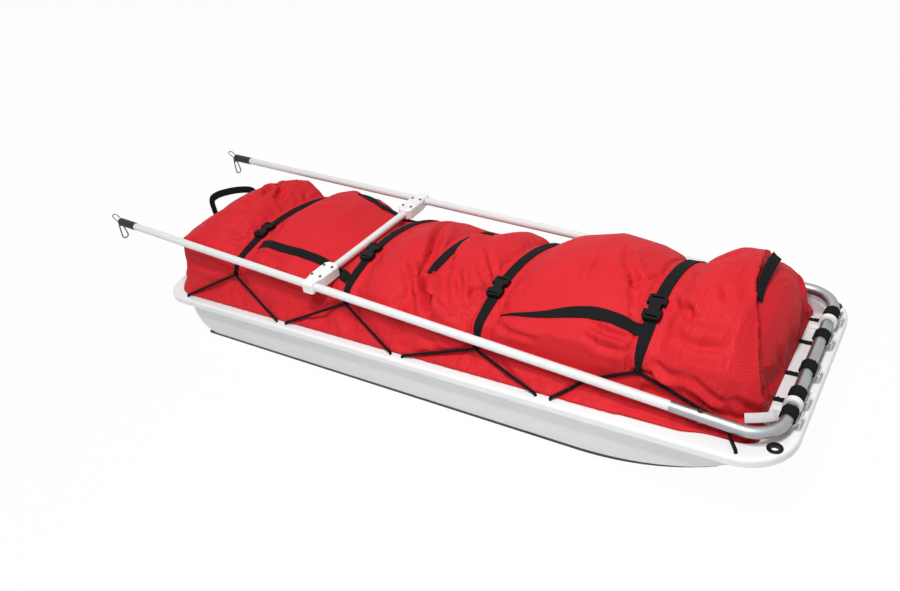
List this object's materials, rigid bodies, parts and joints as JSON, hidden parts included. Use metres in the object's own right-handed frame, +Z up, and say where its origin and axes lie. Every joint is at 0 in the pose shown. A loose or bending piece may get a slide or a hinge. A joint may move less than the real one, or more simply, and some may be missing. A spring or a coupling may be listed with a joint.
{
  "type": "pulk",
  "caption": "Moulded snow sled under a filled fabric cover bag with cross straps and side lashing; a folding tow drawbar of tubes with clamped crossbar and snap-hook tips.",
  "frame": {"origin": "centre of the bounding box on the floor under the runners", "axes": "+X to the sled's front (the upswept nose and front bar), +Y to its left, +Z up"},
  "size_m": [1.876, 0.558, 0.36],
  "materials": {
    "hull_white": "smooth moulded gloss",
    "runner_black": "satin",
    "bag_red": "woven, slight sheen",
    "webbing_black": "woven webbing",
    "cord_black": "braided cord",
    "hem_white": "coated fabric",
    "buckle_black": "fine satin",
    "shaft_white": "smooth gloss",
    "clamp_white": "satin",
    "bow_aluminium": "drawn tube",
    "crossbar_aluminium": "drawn tube",
    "tip_black": "satin",
    "steel": "satin"
  },
  "bodies": {
    "sled": {"bag": "bag_red", "bar_loops": "webbing_black", "buckle_1": "buckle_black", "buckle_2": "buckle_black", "buckle_4": "buckle_black", "buckle_5": "buckle_black", "cross_strap_1": "webbing_black", "cross_strap_2": "webbing_black", "cross_strap_3": "webbing_black", "cross_strap_4": "webbing_black", "cross_strap_5": "webbing_black", "eyelet_left": "steel", "eyelet_right": "steel", "front_handle": "webbing_black", "front_hem": "hem_white", "hull": "hull_white", "ladder_buckles": "steel", "lash_cord_left": "cord_black", "lash_cord_right": "cord_black", "rear_handle": "webbing_black", "runner_left": "runner_black", "runner_right": "runner_black", "saddle_left": "clamp_white", "saddle_right": "clamp_white", "strap_tail_front": "webbing_black", "strap_tail_left": "webbing_black", "strap_tail_rear": "webbing_black"},
    "drawbar": {"bow": "bow_aluminium", "shaft_left": "shaft_white", "shaft_right": "shaft_white", "joint_pin_left": "steel", "joint_pin_right": "steel", "crossbar": "crossbar_aluminium", "clamp_left": "clamp_white", "clamp_right": "clamp_white", "clamp_screws_left": "steel", "clamp_screws_right": "steel", "tip_left": "tip_black", "tip_right": "tip_black", "tip_eye_left": "steel", "tip_eye_right": "steel"},
    "hook_left": {"hook_left": "steel"},
    "hook_right": {"hook_right": "steel"}
  },
  "joints": [
    {"name": "drawbar_fold", "type": "hinge", "parent": "sled", "child": "drawbar", "pos_m": [0.91101, 0, 0.178], "axis": [0, 1, 0], "range_deg": [0, 172]},
    {"name": "hook_left_swing", "type": "hinge", "parent": "drawbar", "child": "hook_left", "pos_m": [-0.92187, 0.2277, 0.32832], "axis": [0, 1, 0], "range_deg": [-70, 90]},
    {"name": "hook_right_swing", "type": "hinge", "parent": "drawbar", "child": "hook_right", "pos_m": [-0.92187, -0.2277, 0.32832], "axis": [0, 1, 0], "range_deg": [-70, 90]}
  ]
}
